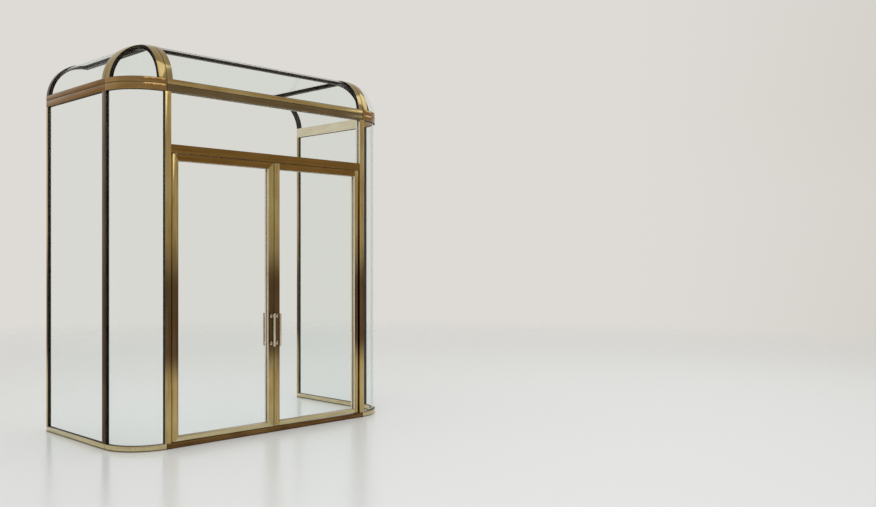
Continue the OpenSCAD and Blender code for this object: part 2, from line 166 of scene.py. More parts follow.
@dataclass(frozen=True)
class BrushedBrass(Finish):
    """Brass sheet, brushed along the section and lacquered.

    The eye sees a warm metal with soft long streaks along each bar, a slightly uneven gloss and
    a browner tone where the lacquer has aged at random. Over a range of heights a painted band
    can darken it further: painted reflection of dark surroundings at hand height on the
    uprights, and painted shade along the foot of the sills and rails. The real brush lines are
    about 0.2 mm apart. They are drawn at line_mm so that they show.
    """

    grain: Grain
    tone: str
    aged: str
    # The painted band darkens the brass towards its tone between two ranges of heights; by default
    # it lies at hand height, as painted reflection of dark surroundings.
    wear: float = 0.0
    painted_band_tone: str = "#4c3320"
    worn_from: tuple[float, float] = (0.48, 0.80)
    worn_to: tuple[float, float] = (1.30, 1.85)
    roughness: float = 0.11
    gloss: tuple[float, float] = (-0.04, 0.06)
    line_mm: float = 2.2
    line_stretch: float = 0.012
    line_bump: float = 0.1
    streak_mm: float = 16.0
    streak_stretch: float = 0.05
    cloud_mm: float = 322.58
    ageing: tuple[float, float] = (0.14, 0.42)
    prefix: ClassVar[str] = "brushed_brass_"

    def surface(self, tree: NodeTree) -> Node:
        """Adds the brushed metal.

        Args:
            tree: The material's tree.

        Returns:
            Its shader.
        """
        place = add_node(tree, "ShaderNodeTexCoord").outputs["Object"]
        lines = self._stretched_noise(tree, place, self.line_mm, self.line_stretch)
        streaks = self._stretched_noise(tree, place, self.streak_mm, self.streak_stretch)
        clouds = add_node(tree, "ShaderNodeTexNoise",
                          {"Vector": place, "Scale": 1.0 / (self.cloud_mm * MM), "Detail": 3.0})
        age = add_node(tree, "ShaderNodeMath", {0: streaks, 1: clouds}, operation="MULTIPLY")
        share = add_node(tree, "ShaderNodeMapRange",
                         {"Value": age, "From Min": self.ageing[0], "From Max": self.ageing[1]})
        colour = add_node(tree, "ShaderNodeMix",
                          {"Factor": share, 6: linear(self.tone), 7: linear(self.aged)},
                          data_type="RGBA")
        # Painted reflection and painted shade: the darker band over a range of heights.
        if self.wear:
            colour = add_node(tree, "ShaderNodeMix",
                              {"Factor": self._painted_band_share(tree, place), 6: colour.outputs[2],
                               7: linear(self.painted_band_tone)}, data_type="RGBA")
        shine = add_node(tree, "ShaderNodeMapRange",
                         {"Value": lines, "From Min": NOISE_LOW, "From Max": NOISE_HIGH,
                          "To Min": self.roughness + self.gloss[0],
                          "To Max": self.roughness + self.gloss[1]})
        bump = add_node(tree, "ShaderNodeBump",
                        {"Height": lines, "Strength": self.line_bump, "Distance": 0.2 * MM})
        return add_node(tree, "ShaderNodeBsdfPrincipled",
                        {"Base Color": colour.outputs[2], "Metallic": 1.0, "Roughness": shine,
                         "Normal": bump})

    def _painted_band_share(self, tree: NodeTree, place: NodeSocket) -> Node:
        """Adds the heights of the painted band: a darker tone of painted reflection and shade.

        Args:
            tree: The material's tree.
            place: The object coordinates.

        Returns:
            The share of the painted band's tone.
        """
        height = add_node(tree, "ShaderNodeSeparateXYZ", {0: place}).outputs["Z"]
        above = add_node(tree, "ShaderNodeMapRange",
                         {"Value": height, "From Min": self.worn_from[0],
                          "From Max": self.worn_from[1], "To Max": self.wear},
                         interpolation_type="SMOOTHSTEP")
        below = add_node(tree, "ShaderNodeMapRange",
                         {"Value": height, "From Min": self.worn_to[1],
                          "From Max": self.worn_to[0]}, interpolation_type="SMOOTHSTEP")
        return add_node(tree, "ShaderNodeMath", {0: above, 1: below}, operation="MULTIPLY")

    def _stretched_noise(self, tree: NodeTree, place: NodeSocket, width_mm: float,
                         stretch: float) -> Node:
        """Adds noise with features width_mm wide across the grain and long along it.

        Args:
            tree: The material's tree.
            place: The object coordinates.
            width_mm: Width of a feature across the grain.
            stretch: How much slower the noise changes along the grain.

        Returns:
            The noise.
        """
        scale = [(axis or stretch) / (width_mm * MM) for axis in self.grain.value]
        mapping = add_node(tree, "ShaderNodeMapping", {"Vector": place, "Scale": scale})
        return add_node(tree, "ShaderNodeTexNoise",
                        {"Vector": mapping, "Scale": 1.0, "Detail": 2.0})


@dataclass(frozen=True)
class CastMetal(Finish):
    """A turned, drawn or patinated metal with an even, slightly mottled surface.

    The eye sees an even metal whose gloss wanders a little from place to place.
    """

    tone: str
    mottle: str
    roughness: float
    gloss: tuple[float, float] = (0.8, 1.25)
    grain_mm: float = 9.0

    def surface(self, tree: NodeTree) -> Node:
        """Adds the mottled metal.

        Args:
            tree: The material's tree.

        Returns:
            Its shader.
        """
        place = add_node(tree, "ShaderNodeTexCoord").outputs["Object"]
        noise = add_node(tree, "ShaderNodeTexNoise",
                         {"Vector": place, "Scale": 1.0 / (self.grain_mm * MM), "Detail": 4.0})
        colour = add_node(tree, "ShaderNodeMix",
                          {"Factor": noise, 6: linear(self.tone), 7: linear(self.mottle)},
                          data_type="RGBA")
        shine = add_node(tree, "ShaderNodeMapRange",
                         {"Value": noise, "From Min": NOISE_LOW, "From Max": NOISE_HIGH,
                          "To Min": self.roughness * self.gloss[0],
                          "To Max": self.roughness * self.gloss[1]})
        return add_node(tree, "ShaderNodeBsdfPrincipled",
                        {"Base Color": colour.outputs[2], "Metallic": 1.0, "Roughness": shine})


@dataclass(frozen=True)
class Rubber(Finish):
    """Extruded EPDM rubber or silicone of a gasket, or the nylon pile of a brush.

    The eye sees one dull tone with a fine matt grain and a weak sheen at its edges. The rubber
    is black, the silicone pale, and the pile is toned to the brass.
    """

    tone: str = "#0e0d0c"
    roughness: float = 0.55
    grain_mm: float = 1.5

    def surface(self, tree: NodeTree) -> Node:
        """Adds the matt surface.

        Args:
            tree: The material's tree.

        Returns:
            Its shader.
        """
        place = add_node(tree, "ShaderNodeTexCoord").outputs["Object"]
        noise = add_node(tree, "ShaderNodeTexNoise",
                         {"Vector": place, "Scale": 1.0 / (self.grain_mm * MM)})
        bump = add_node(tree, "ShaderNodeBump",
                        {"Height": noise, "Strength": 0.1, "Distance": 0.1 * MM})
        return add_node(tree, "ShaderNodeBsdfPrincipled",
                        {"Base Color": linear(self.tone), "Roughness": self.roughness,
                         "Normal": bump})


@dataclass(frozen=True)
class FloatGlass(Finish):
    """Toughened float glass with a coat against reflections.

    The eye sees a clear pane with a faint cool tint and a sharp reflection that grows at
    grazing angles, weaker than on plain glass because of its coat. Lamps shine through it.
    """

    tint: str = "#f9fcfb"
    ior: float = 1.28

    def surface(self, tree: NodeTree) -> Node:
        """Adds the glass, which casts no dark shadow.

        Args:
            tree: The material's tree.

        Returns:
            Its shader.
        """
        glass = add_node(tree, "ShaderNodeBsdfPrincipled",
                         {"Base Color": linear(self.tint), "Roughness": 0.0, "IOR": self.ior,
                          "Transmission Weight": 1.0})
        clear = add_node(tree, "ShaderNodeBsdfTransparent", {"Color": linear(self.tint)})
        rays = add_node(tree, "ShaderNodeLightPath")
        return add_node(tree, "ShaderNodeMixShader",
                        {0: rays.outputs["Is Shadow Ray"], 1: glass, 2: clear})


@dataclass(frozen=True)
class PolishedStone(Finish):
    """Pale stone, ground and polished, which fades out towards the floor's rim.

    The eye sees an even pale floor with a soft reflection of what stands on it.
    """

    tone: str = "#eef2f5"
    roughness: float = 0.22
    specular: float = 0.4
    fade: tuple[float, float] = (8.0, 15.0)

    def surface(self, tree: NodeTree) -> Node:
        """Adds the stone.

        Args:
            tree: The material's tree.

        Returns:
            Its shader.
        """
        place = add_node(tree, "ShaderNodeTexCoord").outputs["Object"]
        reach = add_node(tree, "ShaderNodeVectorMath", {0: place}, operation="LENGTH")
        gone = add_node(tree, "ShaderNodeMapRange",
                        {"Value": reach.outputs["Value"], "From Min": self.fade[0],
                         "From Max": self.fade[1]})
        stone = add_node(tree, "ShaderNodeBsdfPrincipled",
                         {"Base Color": linear(self.tone), "Roughness": self.roughness,
                          "Specular IOR Level": self.specular})
        clear = add_node(tree, "ShaderNodeBsdfTransparent")
        return add_node(tree, "ShaderNodeMixShader", {0: gone, 1: stone, 2: clear})


class Finishes:
    """All finishes of the vestibule, each built once. Each kind of member has its own copy of
    the brass, toned lighter or darker as painted reflection and painted shade.
    """

    def __init__(self) -> None:
        """Builds every material."""
        # Painted shade: the sills and bottom rails take the painted band over their lowest few
        # millimetres, darker where they meet the floor.
        foot = {"wear": 0.8, "worn_from": (-2.0, -1.0), "worn_to": (0.006, 0.013)}
        # The member tones are painted reflection and painted shade. The corner posts, side and
        # head rails, transom, door sill and wall ribs are darker where they mirror dark
        # surroundings, the front curb is brighter, and the bottom rails are pale where they mirror
        # the floor. The inner rail and door return tones are pale painted light on the faces that
        # look into the lobby.
        upright = partial(self._brass, Grain.UPRIGHT)
        level = partial(self._brass, Grain.LEVEL)
        # The painted band on the uprights and corner posts is painted reflection: a darker brown
        # at hand height for the dark surroundings that they mirror.
        self.upright = upright("upright", "#c4ae78", "#a68a55", wear=0.88)
        self.post = upright("corner_post", "#6a553d", "#46341f", wear=0.5)
        self.curb = level("curb_front", "#c0aa74", "#a2854f")
        self.corner = level("corner_rail", "#a48556", "#8a683b")
        self.bottom = level("bottom_rail", "#d4c8a0", "#b9aa7c", **foot)
        self.side = level("side_rail", "#906833", "#775428")
        self.inner = level("inner_rail", "#ece4cc", "#d8ceb0")
        self.transom = level("transom", "#8c6a36", "#79592c")
        self.head = level("head_rail", "#7f6d4f", "#6b593c")
        self.sill = level("door_sill", "#80603a", "#573b1e", **foot)
        self.lip = upright("door_return", "#ece2cf", "#d8cbb2")
        self.rib_front = self._brass(Grain.ACROSS_X, "front_rib", "#aa986a", "#8f784a")
        self.rib_side = self._brass(Grain.ACROSS_Y, "side_rib", "#aa986a", "#8f784a")
        self.rib_wall = self._brass(Grain.ACROSS_Y, "wall_rib", "#5f4429", "#432e1c")
        self.polished = CastMetal("drawn_brass", "#e2d8c6", "#cfc0a8", 0.10).material()
        self.bronze = CastMetal("patinated_bronze", "#33251a", "#231a13", 0.38).material()
        self.steel = CastMetal("turned_steel", "#a9a9a6", "#8f8f8c", 0.28).material()
        self.rubber = Rubber("black_rubber").material()
        self.silicone = Rubber("pale_silicone", "#d8cfc2", 0.4).material()
        self.pile = Rubber("bronze_pile", "#6e5230", 0.8).material()
        self.glass = FloatGlass("toughened_glass").material()
        self.roof_glass = FloatGlass("coated_roof_glass", ior=1.02).material()

    def _brass(self, grain: Grain, member: str, tone: str, aged: str, **wear: Any) -> Material:
        """Builds the brushed brass of one kind of member."""
        return BrushedBrass(member, grain, tone, aged, **wear).material()


@dataclass(frozen=True)
class Layout:
    """Places and sizes of the vestibule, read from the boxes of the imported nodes."""

    half_w: float
    front_y: float
    rear_y: float
    corner_x: float
    frame_d: float
    sill_h: float
    head_z: float
    curb_z: float
    roof_z: float
    transom_top: float
    top_z: float
    rib_cove_w: float
    wall_rib_w: float
    ridge_half: float
    flat_glass_z: float
    roof_glass_t: float
    glass_t: float
    post_round_w: float = 18 * MM
    joint_w: float = 5 * MM
    joint_d: float = 4 * MM
    dome_w: float = 68 * MM
    tip_r: float = 45 * MM

    @classmethod
    def from_frame(cls) -> "Layout":
        """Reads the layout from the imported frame.

        Returns:
            The layout.
        """
        curb_lo, curb_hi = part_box("roof_curb")
        sill_lo, sill_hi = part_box("front_sill")
        side_lo, side_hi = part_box("right_sill")
        rib_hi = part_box("left_front_rib")[1]
        rear_lo, rear_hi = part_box("right_rear_rib")
        flat_lo, flat_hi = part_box("flat_roof_glass")
        pane_lo, pane_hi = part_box("right_side_glass")
        return cls(
            half_w=curb_hi.x, front_y=sill_lo.y, rear_y=curb_hi.y, corner_x=sill_hi.x,
            frame_d=side_hi.x - side_lo.x, sill_h=sill_hi.z,
            head_z=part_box("front_head_rail")[0].z, curb_z=curb_lo.z, roof_z=curb_hi.z,
            transom_top=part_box("transom_bar")[1].z, top_z=rib_hi.z,
            rib_cove_w=rib_hi.x + sill_hi.x, wall_rib_w=rear_hi.y - rear_lo.y,
            ridge_half=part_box("right_ridge_rail")[1].x - sill_hi.x, flat_glass_z=flat_lo.z,
            roof_glass_t=flat_hi.z - flat_lo.z, glass_t=pane_hi.x - pane_lo.x)

    @property
    def corner_r(self) -> float:
        """Outer radius of the round corners and of the cove."""
        return self.half_w - self.corner_x

    @property
    def corner_y(self) -> float:
        """Place of the round corners' axes."""
        return self.front_y + self.corner_r

    @property
    def axis_z(self) -> float:
        """Height of the cove's axes."""
        return self.top_z - self.corner_r

    @property
    def foot_z(self) -> float:
        """Height of the curb's top above the cove's axes."""
        return self.roof_z - self.axis_z

    @property
    def glass_r(self) -> float:
        """Outer radius of the roof glass."""
        return self.flat_glass_z + self.roof_glass_t - self.axis_z

    @property
    def filler_r(self) -> float:
        """Radius of the joint fillers' middle line, sunk in the joints."""
        return self.corner_r - self.joint_d + Bead.FILLER.value[0] / 2

    def corner(self, side: Side, radius: float, turn: float, z: float) -> Spot:
        """Gives a spot on a round corner, by its angle from the front and its height."""
        out = (side.sign * math.sin(turn), -math.cos(turn), 0.0)
        return on_bend((side.sign * self.corner_x, self.corner_y, z), out, radius)

    def cove(self, side: Side | None, radius: float, rise: float, place: float) -> Spot:
        """Gives a spot on a cove of the roof.

        Args:
            side: The cove's side, or none for the front.
            radius: Radius of the surface.
            rise: Angle of the spot above the cove's axis.
            place: Its place along the cove, on X for the front and on Y for a side.

        Returns:
            The spot.
        """
        level, up = math.cos(rise), math.sin(rise)
        if side is None:
            return on_bend((place, self.corner_y, self.axis_z), (0.0, -level, up), radius)
        return on_bend((side.sign * self.corner_x, place, self.axis_z),
                       (side.sign * level, 0.0, up), radius)

    def dome(self, side: Side, radius: float, across: float, ahead: float) -> Spot:
        """Gives a spot on a dome of the roof.

        Args:
            side: The dome's side.
            radius: Radius of the surface.
            across: Distance from the dome's axis to the side, in plan.
            ahead: Distance from the axis to the front, in plan.

        Returns:
            The spot.
        """
        up = math.sqrt(radius ** 2 - across ** 2 - ahead ** 2)
        out = (side.sign * across / radius, -ahead / radius, up / radius)
        return on_bend((side.sign * self.corner_x, self.corner_y, self.axis_z), out, radius)


def on_bend(centre: Point, out: Point, radius: float) -> Spot:
    """Gives the spot at a radius from a centre, in the direction out."""
    return Vector([c + o * radius for c, o in zip(centre, out)]), Vector(out)


def on_pane(middle: Vector, out: Vector, along: float, z: float) -> Spot:
    """Gives a spot on a flat upright pane through its middle."""
    return Vector((along, middle.y, z) if out.y else (middle.x, along, z)), out


def spread(first: float, last: float, steps: int) -> list[float]:
    """Gives evenly spread values, one more than the steps."""
    return [first + (last - first) * i / steps for i in range(steps + 1)]


def arc(radius: float, foot: float, pole: float, steps: int) -> list[float]:
    """Gives the angles of an arc, from a height above its axis to a distance from its pole."""
    return spread(math.asin(foot / radius), math.acos(pole / radius), steps)


def quarter(radius: float, margin: float, steps: int) -> list[float]:
    """Gives the angles of a quarter turn that stops short of both its ends by a margin."""
    first = math.asin(margin / radius)
    return spread(first, math.pi / 2 - first, steps)


def mesh_object(name: str, points: Sequence[Sequence[float]], faces: Sequence[Face] = (),
                edges: Sequence[Face] = (), coats: Sequence[Material] = ()) -> Object:
    """Makes a mesh object and links it to the scene.

    Args:
        name: The object's name.
        points: The mesh's points in the frame of the part.
        faces: Point numbers of each face.
        edges: Point numbers of each loose edge.
        coats: Its materials.

    Returns:
        The new object.
    """
    mesh = bpy.data.meshes.new(name)
    mesh.from_pydata(points, edges, faces)
    for coat in coats:
        mesh.materials.append(coat)
    piece = bpy.data.objects.new(name, mesh)
    bpy.context.scene.collection.objects.link(piece)
    return piece


def loft(rings: Sequence[Sequence[Point]], points: list[Point], faces: list[Face]) -> None:
    """Adds a closed tube through equal rings of points, with flat ends.

    Args:
        rings: The rings, each a closed loop with the same number of points.
        points: The list that takes the points.
        faces: The list that takes the faces.
    """
    start, count = len(points), len(rings[0])
    points += [place for ring in rings for place in ring]
    last = len(points) - count
    for low in range(start, last, count):
        for j in range(count):
            k = (j + 1) % count
            faces.append((low + j, low + k, low + count + k, low + count + j))
    faces.append(tuple(range(start + count - 1, start - 1, -1)))
    faces.append(tuple(range(last, last + count)))


def bake(piece: Object) -> Object:
    """Turns a piece's modifiers into plain mesh.

    Args:
        piece: The object whose modifiers are complete.

    Returns:
        The same object, with the result as its mesh and no modifier.
    """
    graph = bpy.context.evaluated_depsgraph_get()
    mesh = bpy.data.meshes.new_from_object(piece.evaluated_get(graph))
    old = piece.data
    piece.modifiers.clear()
    piece.data = mesh
    mesh.name = piece.name
    bpy.data.meshes.remove(old)
    return piece


def face_out(piece: Object) -> None:
    """Turns a closed piece's faces outwards.

    Args:
        piece: The object to turn.
    """
    edit = bmesh.new()
    edit.from_mesh(piece.data)
    bmesh.ops.recalc_face_normals(edit, faces=edit.faces[:])
    edit.to_mesh(piece.data)
    edit.free()


def smooth_by_angle(piece: Object) -> None:
    """Shades a piece smooth, with its sharp edges kept."""
    piece.data.shade_smooth()
    piece.data.set_sharp_from_angle(angle=EDGE_ANGLE)


def break_edges(piece: Object, width: float) -> None:
    """Rounds a piece's sharp edges a little, as folded or milled metal has them.

    Args:
        piece: The object to finish.
        width: Width of the round.
    """
    face_out(piece)
    piece.data.shade_smooth()
    bevel = piece.modifiers.new("broken_edges", "BEVEL")
    bevel.width = width
    bevel.segments = 2
    bevel.limit_method = "ANGLE"
    bevel.angle_limit = EDGE_ANGLE
    bevel.harden_normals = True
    bevel.miter_outer = "MITER_ARC"
    bake(piece)


def dress(piece: Object, body: str, nodes: Sequence[str] = ()) -> None:
    """Fastens a finished piece to its body.

    Args:
        piece: The finished object.
        body: The body that it moves with.
        nodes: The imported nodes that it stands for.
    """
    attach(piece, body)
    if nodes:
        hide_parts(*nodes)
    log.info("%s on %s: %d faces", piece.name, body, len(piece.data.polygons))


def cut_across(solid: bmesh.types.BMesh, place: Point, across: Point) -> None:
    """Cuts a solid's faces along a plane, so that its two sides can have two finishes.

    Args:
        solid: The mesh to cut; nothing of it is removed.
        place: A point of the plane.
        across: The plane's normal.
    """
    bmesh.ops.bisect_plane(solid, geom=solid.verts[:] + solid.edges[:] + solid.faces[:],
                           dist=ON_PLANE, plane_co=place, plane_no=across)


def looks_in(face: bmesh.types.BMFace) -> bool:
    """Tells whether a face of a side bar is upright and looks into the lobby."""
    across = face.normal.x
    return across * face.calc_center_median().x < 0 and abs(across) > SQUARE_ON


@dataclass
class BrassSection:
    """A bar of brass section, copied from its solid, with broken edges.

    Its finishes are numbered. Where it has two, the second one lies on the faces that look into
    the lobby, from the height painted_light_from up: a pale tone of painted light, for the
    daylight on those faces. An edge of 0 leaves the edges as they are.
    """

    node: str
    finishes: Sequence[Material]
    body: str = "frame"
    slot: str = "brushed_brass"
    edge: float = 1.0 * MM
    painted_light_from: float = 0.0

    def build(self) -> None:
        """Builds, dresses and fastens the section."""
        piece = mesh_object(self.node + "_dressed", (), coats=self.finishes)
        solid = bmesh.new()
        solid.from_mesh(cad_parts[self.node].data)
        bmesh.ops.remove_doubles(solid, verts=solid.verts[:], dist=SAME_POINT)
        self.paint(solid)
        if self.edge:
            bmesh.ops.dissolve_limit(solid, angle_limit=FLAT_ANGLE, verts=solid.verts[:],
                                     edges=solid.edges[:], delimit={"MATERIAL"})
        solid.to_mesh(piece.data)
        solid.free()
        if self.edge:
            break_edges(piece, self.edge)
        else:
            smooth_by_angle(piece)
        dress(piece, self.body, [self.node])

    def paint(self, solid: bmesh.types.BMesh) -> None:
        """Gives each face the number of its finish.

        Args:
            solid: The section.
        """
        # Painted light: the pale second finish on the faces that look into the lobby.
        if self.painted_light_from:
            cut_across(solid, (0, 0, self.painted_light_from), (0, 0, 1))
        for face in solid.faces:
            high = face.calc_center_median().z > self.painted_light_from
            face.material_index = int(high and len(self.finishes) > 1 and looks_in(face))


@dataclass
class LeafFrame(BrassSection):
    """A door's frame, whose brushing turns where its rails meet its stiles.

    On the right leaf the rails butt against the stiles. On the left leaf they meet in mitres,
    along the diagonals that its solid's own faces have at the corners.
    """

    def paint(self, solid: bmesh.types.BMesh) -> None:
        """Gives the stiles finish 0, the rails 1 and 2, and the returns round the pane 3.

        The top rail's darker tone and the bottom rail's pale one are painted reflection, and the
        pale returns are painted light.

        Args:
            solid: The whole frame.
        """
        low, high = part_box(self.node.replace("frame", "glass"))
        near, far = sorted((abs(low.x), abs(high.x)))
        joints, levels = (near + BITE, far - BITE), (low.z + DROP, high.z - BITE)
        for x in joints:  # both planes meet the right leaf only
            cut_across(solid, (x, 0, 0), (1, 0, 0))
        middle_z = sum(corner.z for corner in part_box(self.node)) / 2
        for face in solid.faces:
            place, normal = face.calc_center_median(), face.normal
            rail = 1 if place.z > middle_z else 2
            face.material_index = rail * (joints[0] + MM < abs(place.x) < joints[1] - MM)
            for across, at, edges in ((normal.x, abs(place.x), joints),
                                      (normal.z, place.z, levels)):
                if abs(across) > SQUARE_ON and min(abs(at - edge) for edge in edges) < MM:
                    face.material_index = 3


@dataclass
class RoofCurb(BrassSection):
    """The curb under the roof, whose corners and straight sides are toned browner than its front
    as painted reflection and shade, with pale painted light on its lobby faces.
    """

    corner: tuple[float, float] = (0.0, 0.0)

    def paint(self, solid: bmesh.types.BMesh) -> None:
        """Gives the front finish 0, the corners 1, the sides 2 and their lobby faces 3.

        Args:
            solid: The whole curb.
        """
        x, y = self.corner
        for place, across in (((x, 0, 0), (1, 0, 0)), ((-x, 0, 0), (1, 0, 0)),
                              ((0, y, 0), (0, 1, 0))):
            cut_across(solid, place, across)
        for face in solid.faces:
            middle = face.calc_center_median()
            face.material_index = 2 + looks_in(face) if middle.y > y else int(abs(middle.x) > x)


class Run(Enum):
    """Where a rib of the roof runs: along a corner's front, along its side, or at the wall."""

    FRONT = "front"
    SIDE = "side"
    REAR = "rear"


@dataclass
class RoofRib:
    """A rib of the roof: a cap over the glass, a bar under it and a web between, bent on the cove.

    A corner rib also spreads over the dome as far as its mitre and the rounded opening. A place
    on a rib is given by a, the distance across it towards the dome, by its radius, and by its
    share of the way from the foot to the pole.
    """

    side: Side
    run: Run
    layout: Layout
    brass: Material
    bronze: Material
    cap_t: float = 6 * MM
    bar_h: float = 20 * MM
    web_t: float = 10 * MM
    bed_t: float = 0.5 * MM
    edge: float = 0.7 * MM
    rows: int = 72
    tip_rows: int = 24
    columns: int = 8
    tries: int = 30

    def build(self) -> None:
        """Builds, dresses and fastens the rib."""
        node = f"{self.side.value}_{self.run.value}_rib"
        under = self.layout.glass_r - self.layout.roof_glass_t - self.bed_t
        points: list[Point] = []
        faces: list[Face] = []
        loft(self._rings(self.layout.corner_r, self.cap_t, self.run is not Run.REAR),
             points, faces)
        brass_faces = len(faces)
        loft(self._rings(under, self.bar_h), points, faces)
        loft(self._web_rings(under), points, faces)
        piece = mesh_object(node + "_dressed", points, faces, coats=[self.brass, self.bronze])
        for face in piece.data.polygons[brass_faces:]:
            face.material_index = 1
        break_edges(piece, self.edge)
        dress(piece, "frame", [node])

    def _edge_at(self, f: float) -> float:
        """Gives the rib's width over the dome at a distance from the pole.

        Args:
            f: Distance from the pole in plan.

        Returns:
            The width, set by the mitre, the rounded tip or the straight side of the opening.
        """
        dome_w, tip_r = self.layout.dome_w, self.layout.tip_r
        middle = dome_w + tip_r
        if f <= middle - tip_r / math.sqrt(2):
            return f
        if f < middle:
            return middle - math.sqrt(tip_r ** 2 - (f - middle) ** 2)
        return dome_w

    def _bent(self, a: float, radius: float, share: float) -> tuple[float, float]:
        """Finds a place on the rib.

        Args:
            a: Distance across the rib; over the dome it is positive.
            radius: Radius of the surface.
            share: Place along the rib.

        Returns:
            The distance from the pole in plan and the height above the cove's axis.
        """
        reach = math.sqrt(radius ** 2 - max(a, 0.0) ** 2)
        low, high = arc(reach, self.layout.foot_z, self.layout.ridge_half, 1)
        rise = low + (high - low) * share
        return reach * math.cos(rise), reach * math.sin(rise)

    def _place(self, a: float, radius: float, share: float) -> Point:
        """Finds a place on the rib in the frame of the part.

        Args:
            a: Distance across the rib.
            radius: Radius of the surface.
            share: Place along the rib.

        Returns:
            The point.
        """
        layout = self.layout
        f, z = self._bent(a, radius, share)
        x, y = {Run.FRONT: (a, layout.corner_y - f), Run.SIDE: (f, layout.corner_y - a),
                Run.REAR: (f, layout.rear_y + a)}[self.run]
        return (self.side.sign * (layout.corner_x + x), y, layout.axis_z + z)

    def _width(self, radius: float, share: float) -> float:
        """Finds the rib's width over the dome at a place along it.

        Args:
            radius: Radius of the surface.
            share: Place along the rib.

        Returns:
            The width, or 0 at the wall.
        """
        if self.run is Run.REAR:
            return 0.0
        a = self.layout.dome_w
        for _ in range(self.tries):
            a = self._edge_at(self._bent(a, radius, share)[0])
        return a

    def _shares(self) -> list[float]:
        """Gives the places of the rings along the rib, close together at the rounded tip.

        Returns:
            Shares from 0 at the foot to 1 at the pole.
        """
        layout = self.layout
        low, high = arc(layout.corner_r, layout.foot_z, layout.ridge_half, 1)
        shares = spread(0.0, 1.0, self.rows)
        if self.run is not Run.REAR:
            middle = layout.dome_w + layout.tip_r
            for f in spread(middle - layout.tip_r / math.sqrt(2), middle, self.tip_rows):
                shares.append((math.acos(f / layout.corner_r) - low) / (high - low))
        return sorted(set(shares))

    def _rings(self, radius: float, thickness: float, groove: bool = False) -> list[list[Point]]:
        """Gives the rings of a cap or bar, from the foot to the pole.

        Args:
            radius: Outer radius.
            thickness: Its thickness, towards the inside.
            groove: Whether the joint line runs along it.

        Returns:
            The rings, each a closed loop of points.
        """
        layout, inner = self.layout, radius - thickness
        low = -(layout.wall_rib_w if self.run is Run.REAR else layout.rib_cove_w)
        start, outer = low / 2, [(low, radius), (low / 2, radius)]
        if groove:
            start, bed = layout.joint_w / 2, radius - layout.joint_d
            outer += [(-start, radius), (-start, bed), (start, bed), (start, radius)]
        rings = []
        for share in self._shares():
            high, under = self._width(radius, share), self._width(inner, share)
            across = outer + [(a, radius) for a in spread(start, high, self.columns)[1:]]
            across += [(a, inner) for a in reversed(spread(low, under, self.columns))]
            rings.append([self._place(a, r, share) for a, r in across])
        return rings

    def _web_rings(self, under: float) -> list[list[Point]]:
        """Gives the rings of the web between the two panes.

        Args:
            under: Radius of its inner face.

        Returns:
            The rings, each a closed loop of points.
        """
        high = 0.0 if self.run is Run.REAR else self.web_t / 2
        low, cap = high - self.web_t, self.layout.corner_r - self.cap_t
        corners = [(low, cap), (high, cap), (high, under), (low, under)]
        return [[self._place(a, r, share) for a, r in corners] for share in self._shares()]


def shell(name: str, outer: Sequence[Sequence[Vector]], inner: Sequence[Sequence[Vector]],
          coat: Material) -> Object:
    """Makes a closed pane from two grids of points.

    Args:
        name: The piece's name.
        outer: Rows of points on the outer surface.
        inner: The same rows on the inner surface.
        coat: Its material.

    Returns:
        The closed piece.
    """
    columns = len(outer[0])
    size = len(outer) * columns
    faces: list[Face] = []
    for row in range(0, size - columns, columns):
        for a in range(row, row + columns - 1):
            b, c, d = a + 1, a + columns + 1, a + columns
            faces += [(a, b, c, d), (size + d, size + c, size + b, size + a)]
    rim = [*range(columns), *range(2 * columns - 1, size, columns),
           *range(size - 2, size - columns - 1, -1), *range(size - 2 * columns, 0, -columns)]
    faces += [(b, a, size + a, size + b) for a, b in zip(rim, rim[1:] + rim[:1])]
    piece = mesh_object(name, [p for grid in (outer, inner) for row in grid for p in row], faces,
                        coats=[coat])
    face_out(piece)
    smooth_by_angle(piece)
    return piece


